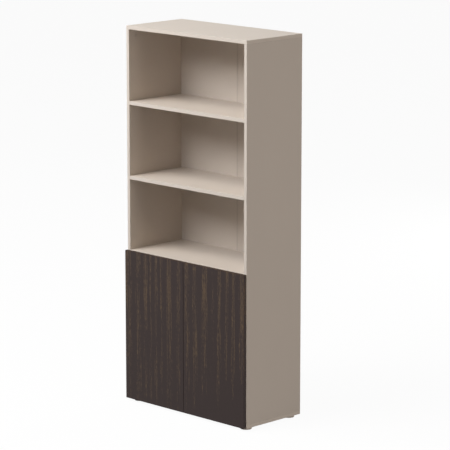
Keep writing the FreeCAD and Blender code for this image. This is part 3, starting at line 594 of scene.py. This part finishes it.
def screw_outline(head_radius, head_height, shank_radius, length):
    """Radius and height, from the head's middle over a dome that drops by the square of the radius,
    round its rim and under it, then down the shank to a point."""
    dome = np.linspace(0.0, DOME_EDGE, DOME_ROWS)
    dome_drop = head_height * DOME_DROP * dome**2
    dome_rows = np.stack([dome * head_radius, head_height - dome_drop], axis=-1)
    rim = np.array(HEAD_RIM) * [head_radius, head_height]
    rows = max(8, int(length * THREADED_SHARE / THREAD_PITCH * THREAD_ROWS_PER_TURN))
    shank_height = np.linspace(0.0, -length * THREADED_SHARE, rows)
    shank = np.stack([np.full(rows, shank_radius), shank_height], axis=-1)
    tip = np.array([[shank_radius * TIP_RADIUS, -length * TIP_START], [0.0, -length]])
    return np.concatenate([dome_rows, rim, shank, tip])


def screw_points(seat, outward, head_radius, head_height, shank_radius, length):
    """The outline turned about its axis. In the head, points within the cross sink by a tapering depth;
    on the shank the radius rises and falls with the height plus the angle's share of the pitch."""
    outline = screw_outline(head_radius, head_height, shank_radius, length)
    radius = outline[:, :1]
    height = outline[:, 1:]
    angle = np.linspace(0.0, 2 * math.pi, SCREW_AROUND, endpoint=False)[None, :]
    x = radius * np.cos(angle)
    y = radius * np.sin(angle)
    off_arm = np.minimum(abs(x), abs(y)) - CROSS_HALF * head_radius
    in_arm = np.clip(0.5 - off_arm / (CROSS_SLOPE * head_radius), 0.0, 1.0)
    in_reach = np.clip((CROSS_REACH * head_radius - radius) / (CROSS_SLOPE * head_radius), 0.0, 1.0)
    depth = head_height * CROSS_DEPTH * (1.0 - CROSS_TAPER * radius / head_radius)
    on_head = height > 0.4 * head_height
    height = np.broadcast_to(height, x.shape) - on_head * in_arm * in_reach * depth
    turns = height / THREAD_PITCH - angle / (2 * math.pi)
    ridge = np.clip(1.0 - 3.0 * abs(turns - np.round(turns)), 0.0, 1.0)
    on_shank = (height < -0.4 * THREAD_PITCH) & (radius > 0.9 * shank_radius)
    radius = radius * (1.0 - on_shank * THREAD_DEPTH * (1.0 - ridge))
    outward = np.array(outward, float)
    beside = np.array([0.0, 0.0, 1.0]) if abs(outward[2]) < 0.5 else np.array([1.0, 0.0, 0.0])
    above = np.cross(outward, beside)
    round_part = radius[..., None] * (np.cos(angle)[..., None] * beside + np.sin(angle)[..., None] * above)
    return np.array(seat, float) + round_part + height[..., None] * outward


def screw_set(node, body, outwards, seats, sizes):
    """One piece for all the screws of a CAD node: each grid's end rows shrink to a pole, and a fan of
    triangles closes it. Seats are the points under the heads."""
    shells = []
    faces = []
    start = 0
    round_one = np.arange(SCREW_AROUND)
    round_two = (round_one + 1) % SCREW_AROUND
    for seat, outward in zip(seats, outwards):
        grid = screw_points(seat, outward, *sizes)
        inner_rows = len(grid) - 2
        first_ring = start + 1
        tip = first_ring + inner_rows * SCREW_AROUND
        last_ring = tip - SCREW_AROUND
        shells += [grid[0, :1], grid[1:-1].reshape(-1, 3), grid[-1, :1]]
        faces += (np.array(ring_faces(inner_rows, SCREW_AROUND, closed=False)) + first_ring).tolist()
        head_pole = np.full(SCREW_AROUND, start)
        faces += np.stack([head_pole, first_ring + round_one, first_ring + round_two], axis=-1).tolist()
        tip_pole = np.full(SCREW_AROUND, tip)
        faces += np.stack([last_ring + round_two, last_ring + round_one, tip_pole], axis=-1).tolist()
        start = tip + 1
    piece = mesh_piece(node + "_cross", np.concatenate(shells), faces, zinc, body, 50.0)
    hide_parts(node)


def plated_metal(name, colour, roughness):
    """Plated pressed steel: a clouded sheen with fine rolling marks."""
    finish = Finish(name, Metallic=1.0)
    cloud = finish.noise(finish.place, SHEEN_CELLS, 3.0)
    grain = finish.noise(finish.cells(*ROLLING_CELLS), 1.0, 2.0)
    finish.feed("Base Color", finish.shade(paint(*colour), 0.86 + cloud * 0.16 + grain * 0.1))
    finish.feed("Roughness", roughness + cloud.swing(0.16) + grain.swing(0.12))
    finish.relief(grain, ROLLING_DEPTH)
    return finish


zinc = plated_metal("zinc_plate", ZINC, ZINC_ROUGHNESS)
downward = [(0, 0, -1)] * 4
foot_seats = [(x, y, FOOT_SEAT_Z) for x, y in FOOT_PLACES]
screw_set("foot_screws", "carcass", downward, foot_seats, FOOT_SCREW)
cup_x, cup_y, cup_drop = CUP_SEAT
wing_levels = [level + drop for level in CUP_LEVELS for drop in (-cup_drop, cup_drop)]
for side, hand in zip(SIDES, ("left", "right")):
    cup_seats = [(side * cup_x, cup_y, level) for level in wing_levels]
    screw_set("hinge_cup_screws_" + hand, "door_" + hand, [(0, 1, 0)] * 4, cup_seats, CUP_SCREW)
arm_x, arm_y = ARM_SEAT
arm_seats = [(side * arm_x, arm_y, level) for side in SIDES for level in CUP_LEVELS]
arm_ways = [(-side, 0, 0) for side in SIDES for level in CUP_LEVELS]
screw_set("hinge_arm_screws", "carcass", arm_ways, arm_seats, ARM_SCREW)
plate_x, plate_y, plate_drop = PLATE_SEAT
plate_levels = [level + drop for level in CUP_LEVELS for drop in (-plate_drop, plate_drop)]
plate_seats = [(side * plate_x, plate_y, level) for side in SIDES for level in plate_levels]
plate_ways = [(-side, 0, 0) for side in SIDES for level in plate_levels]
screw_set("hinge_plate_screws", "carcass", plate_ways, plate_seats, PLATE_SCREW)
latch_x, latch_y, wing_reach = LATCH_SEAT
latch_wings = (-wing_reach, wing_reach)
latch_seats = [(side * latch_x + wing, latch_y, LATCH_SEAT_Z) for side in SIDES for wing in latch_wings]
screw_set("latch_screws", "carcass", downward, latch_seats, LATCH_SCREW)

# ------------------------------------------------------------------------------------------------
# Joint fittings: zinc die-cast cams, steel bolts and beech dowels inside the corners, plastic caps
# over the cams, and steel pins under the loose shelves.
CAST_GREY = (150, 152, 154)
CAST_ROUGHNESS = 0.46
BEECH_CELLS = (200.0, 1500.0, 200.0)
BEECH_DARK = (196, 158, 112)
BEECH_LIGHT = (224, 192, 150)

cast = plated_metal("die_cast_zinc", CAST_GREY, CAST_ROUGHNESS)
dress(cast, "cam_locks_top", "cam_locks_bottom", "cam_locks_shelf")
dress(zinc, "cam_bolts_top", "cam_bolts_bottom", "cam_bolts_shelf")
dress(zinc, "shelf_pins_inner", "shelf_pins_middle", "shelf_pins_upper")
beech = Finish("beech", Roughness=0.6, Specular_IOR_Level=0.3)
fleck = beech.noise(beech.cells(*BEECH_CELLS), 1.0, 2.0)
beech.feed("Base Color", beech.mix(fleck, paint(*BEECH_DARK), paint(*BEECH_LIGHT)))
dress(beech, "dowels_top", "dowels_bottom", "dowels_shelf")

# ------------------------------------------------------------------------------------------------
# Concealed hinges: nickel-plated pressed steel. Each has a cup sunk in the door, a link, an arm and
# a plate screwed to the side.
NICKEL = (206, 202, 196)
NICKEL_ROUGHNESS = 0.24
# the side in these names keeps the screws out, which are zinc
HINGE_STEEL = (
    "hinge_cup_left",
    "hinge_cup_right",
    "hinge_arm_left",
    "hinge_arm_right",
    "hinge_plate_left",
    "hinge_plate_right",
    "hinge_link",
)

nickel = plated_metal("nickel_plate", NICKEL, NICKEL_ROUGHNESS)
dress(nickel, *[name for name in nodes if name.startswith(HINGE_STEEL)])

# ------------------------------------------------------------------------------------------------
# Push latches: a grey plastic housing screwed under the fixed shelf with a sprung plunger of dark
# plastic, which meets a steel disc pressed into the back of each door.
LATCH_GREY = (150, 148, 144)
LATCH_ROUGHNESS = 0.46
PLUNGER_DARK = (48, 48, 50)
PLUNGER_ROUGHNESS = 0.36

housing_plastic = moulded_plastic("latch_grey", LATCH_GREY, LATCH_ROUGHNESS)
dress(housing_plastic, "latch_housing_left", "latch_housing_right")
plunger_plastic = moulded_plastic("plunger_dark", PLUNGER_DARK, PLUNGER_ROUGHNESS)
dress(plunger_plastic, "latch_plunger_left", "latch_plunger_right")
dress(nickel, "door_strike_left", "door_strike_right")

# ------------------------------------------------------------------------------------------------
# Studio: a wide white floor that keeps a faint shadow, a broad soft lamp high in front to the left
# with a smaller one above it, a weaker one round to the left, two fills from the right, one lamp
# behind, and a little warm light from all round.
FLOOR_REACH = 60.0
FLOOR_BOUNCE = 0.12
FLOOR_PALE = 0.9
FLOOR_WHITE_SHARE = 0.955
WHITE = (1.0, 1.0, 1.0, 1.0)
SURROUND_WARM = (1.0, 0.9, 0.78, 1.0)
SURROUND_STRENGTH = 0.03
AIM = Vector((0.0, 0.0, 1.0))
# degrees round from the front, degrees up, metres away, width, height, watts and colour
LAMPS = {
    "key": (-23.0, 38.0, 7.5, 6.0, 2.55, 430.0, (0.97, 0.98, 1.0)),
    "high": (-16.0, 60.0, 10.0, 3.2, 3.2, 345.0, (1.0, 0.96, 0.89)),
    "side": (-62.0, 25.0, 10.0, 2.6, 2.6, 255.0, (0.88, 0.94, 1.0)),
    "fill": (90.0, 2.0, 8.0, 2.4, 2.4, 196.0, (1.0, 0.94, 0.895)),
    "fill_high": (75.0, 30.0, 8.0, 2.4, 2.4, 25.0, (1.0, 0.88, 0.7)),
    "rear": (186.0, 0.0, 6.0, 1.0, 1.2, 190.0, (1.0, 0.98, 0.95)),
}


def white_where_seen(tree, lighting, seen_share=1.0):
    """Mixes a shader with plain white for the rays of the camera, of a gloss and of a clear piece."""
    path = tree.node("ShaderNodeLightPath")
    seen = path.most(path.out("Is Glossy Ray")).most(path.out("Is Transmission Ray"))
    white = tree.node("ShaderNodeEmission", None, {"Color": WHITE, "Strength": 1.0})
    return tree.node("ShaderNodeMixShader", None, {0: seen * seen_share, 1: lighting, 2: white}), seen


floor_finish = Finish("studio_floor", Roughness=0.9, Specular_IOR_Level=0.0)
floor_finish.shader.inputs["Base Color"].default_value = (FLOOR_BOUNCE,) * 3 + (1.0,)
pale = floor_finish.node("ShaderNodeBsdfDiffuse", None, {"Color": (FLOOR_PALE,) * 3 + (1.0,)})
white_floor, floor_seen = white_where_seen(floor_finish, pale, FLOOR_WHITE_SHARE)
bounce = Value(floor_finish, floor_finish.shader.outputs[0])
floor_mix = floor_finish.node("ShaderNodeMixShader", None, {0: floor_seen, 1: bounce, 2: white_floor})
floor_finish.show("Material Output", floor_mix)
floor_mesh = bpy.data.meshes.new("studio_floor")
floor_turns = ((-1, -1), (1, -1), (1, 1), (-1, 1))
floor_corners = [(x * FLOOR_REACH, y * FLOOR_REACH, 0) for x, y in floor_turns]
floor_mesh.from_pydata(floor_corners, [], [(0, 1, 2, 3)])
floor_mesh.materials.append(floor_finish.material)
floor = bpy.data.objects.new("studio_floor", floor_mesh)
scene.collection.objects.link(floor)

world = bpy.data.worlds.new("studio")
scene.world = world
world.use_nodes = True
surround = Tree(world.node_tree)
warm_sockets = {"Color": SURROUND_WARM, "Strength": SURROUND_STRENGTH}
warm = surround.node("ShaderNodeBackground", None, warm_sockets)
surround.show("World Output", white_where_seen(surround, warm)[0])


def lamp(name, azimuth, elevation, distance, width, height, power, colour):
    """A rectangular lamp that looks at the bookcase from that direction, in degrees from straight ahead."""
    turn = math.radians(azimuth)
    rise = math.radians(elevation)
    way = Vector((math.sin(turn) * math.cos(rise), -math.cos(turn) * math.cos(rise), math.sin(rise)))
    light = bpy.data.lights.new(name, "AREA")
    light.shape = "RECTANGLE"
    light.size = width
    light.size_y = height
    light.energy = power
    light.color = colour
    holder = bpy.data.objects.new(name, light)
    holder.location = way * distance + AIM
    holder.rotation_mode = "QUATERNION"
    holder.rotation_quaternion = (-way).to_track_quat("-Z", "Y")
    scene.collection.objects.link(holder)


for name, settings in LAMPS.items():
    lamp(name, *settings)

# ------------------------------------------------------------------------------------------------
# Camera: far off to the right of the front, a little above the top, with a long lens.
LENS = 207.83
SENSOR_WIDTH = 36.0
FAR_CLIP = 200.0
CAMERA_PLACE = (9.11566, -9.08327, 3.56692)
CAMERA_DOWN = 11.455
CAMERA_TURN = 44.809

camera_data = bpy.data.cameras.new("camera")
camera_data.lens = LENS
camera_data.sensor_width = SENSOR_WIDTH
camera_data.clip_end = FAR_CLIP
camera = bpy.data.objects.new("camera", camera_data)
camera.location = CAMERA_PLACE
camera.rotation_euler = (math.radians(90.0 - CAMERA_DOWN), 0.0, math.radians(CAMERA_TURN))
scene.collection.objects.link(camera)
scene.camera = camera
scene.view_settings.view_transform = "Standard"
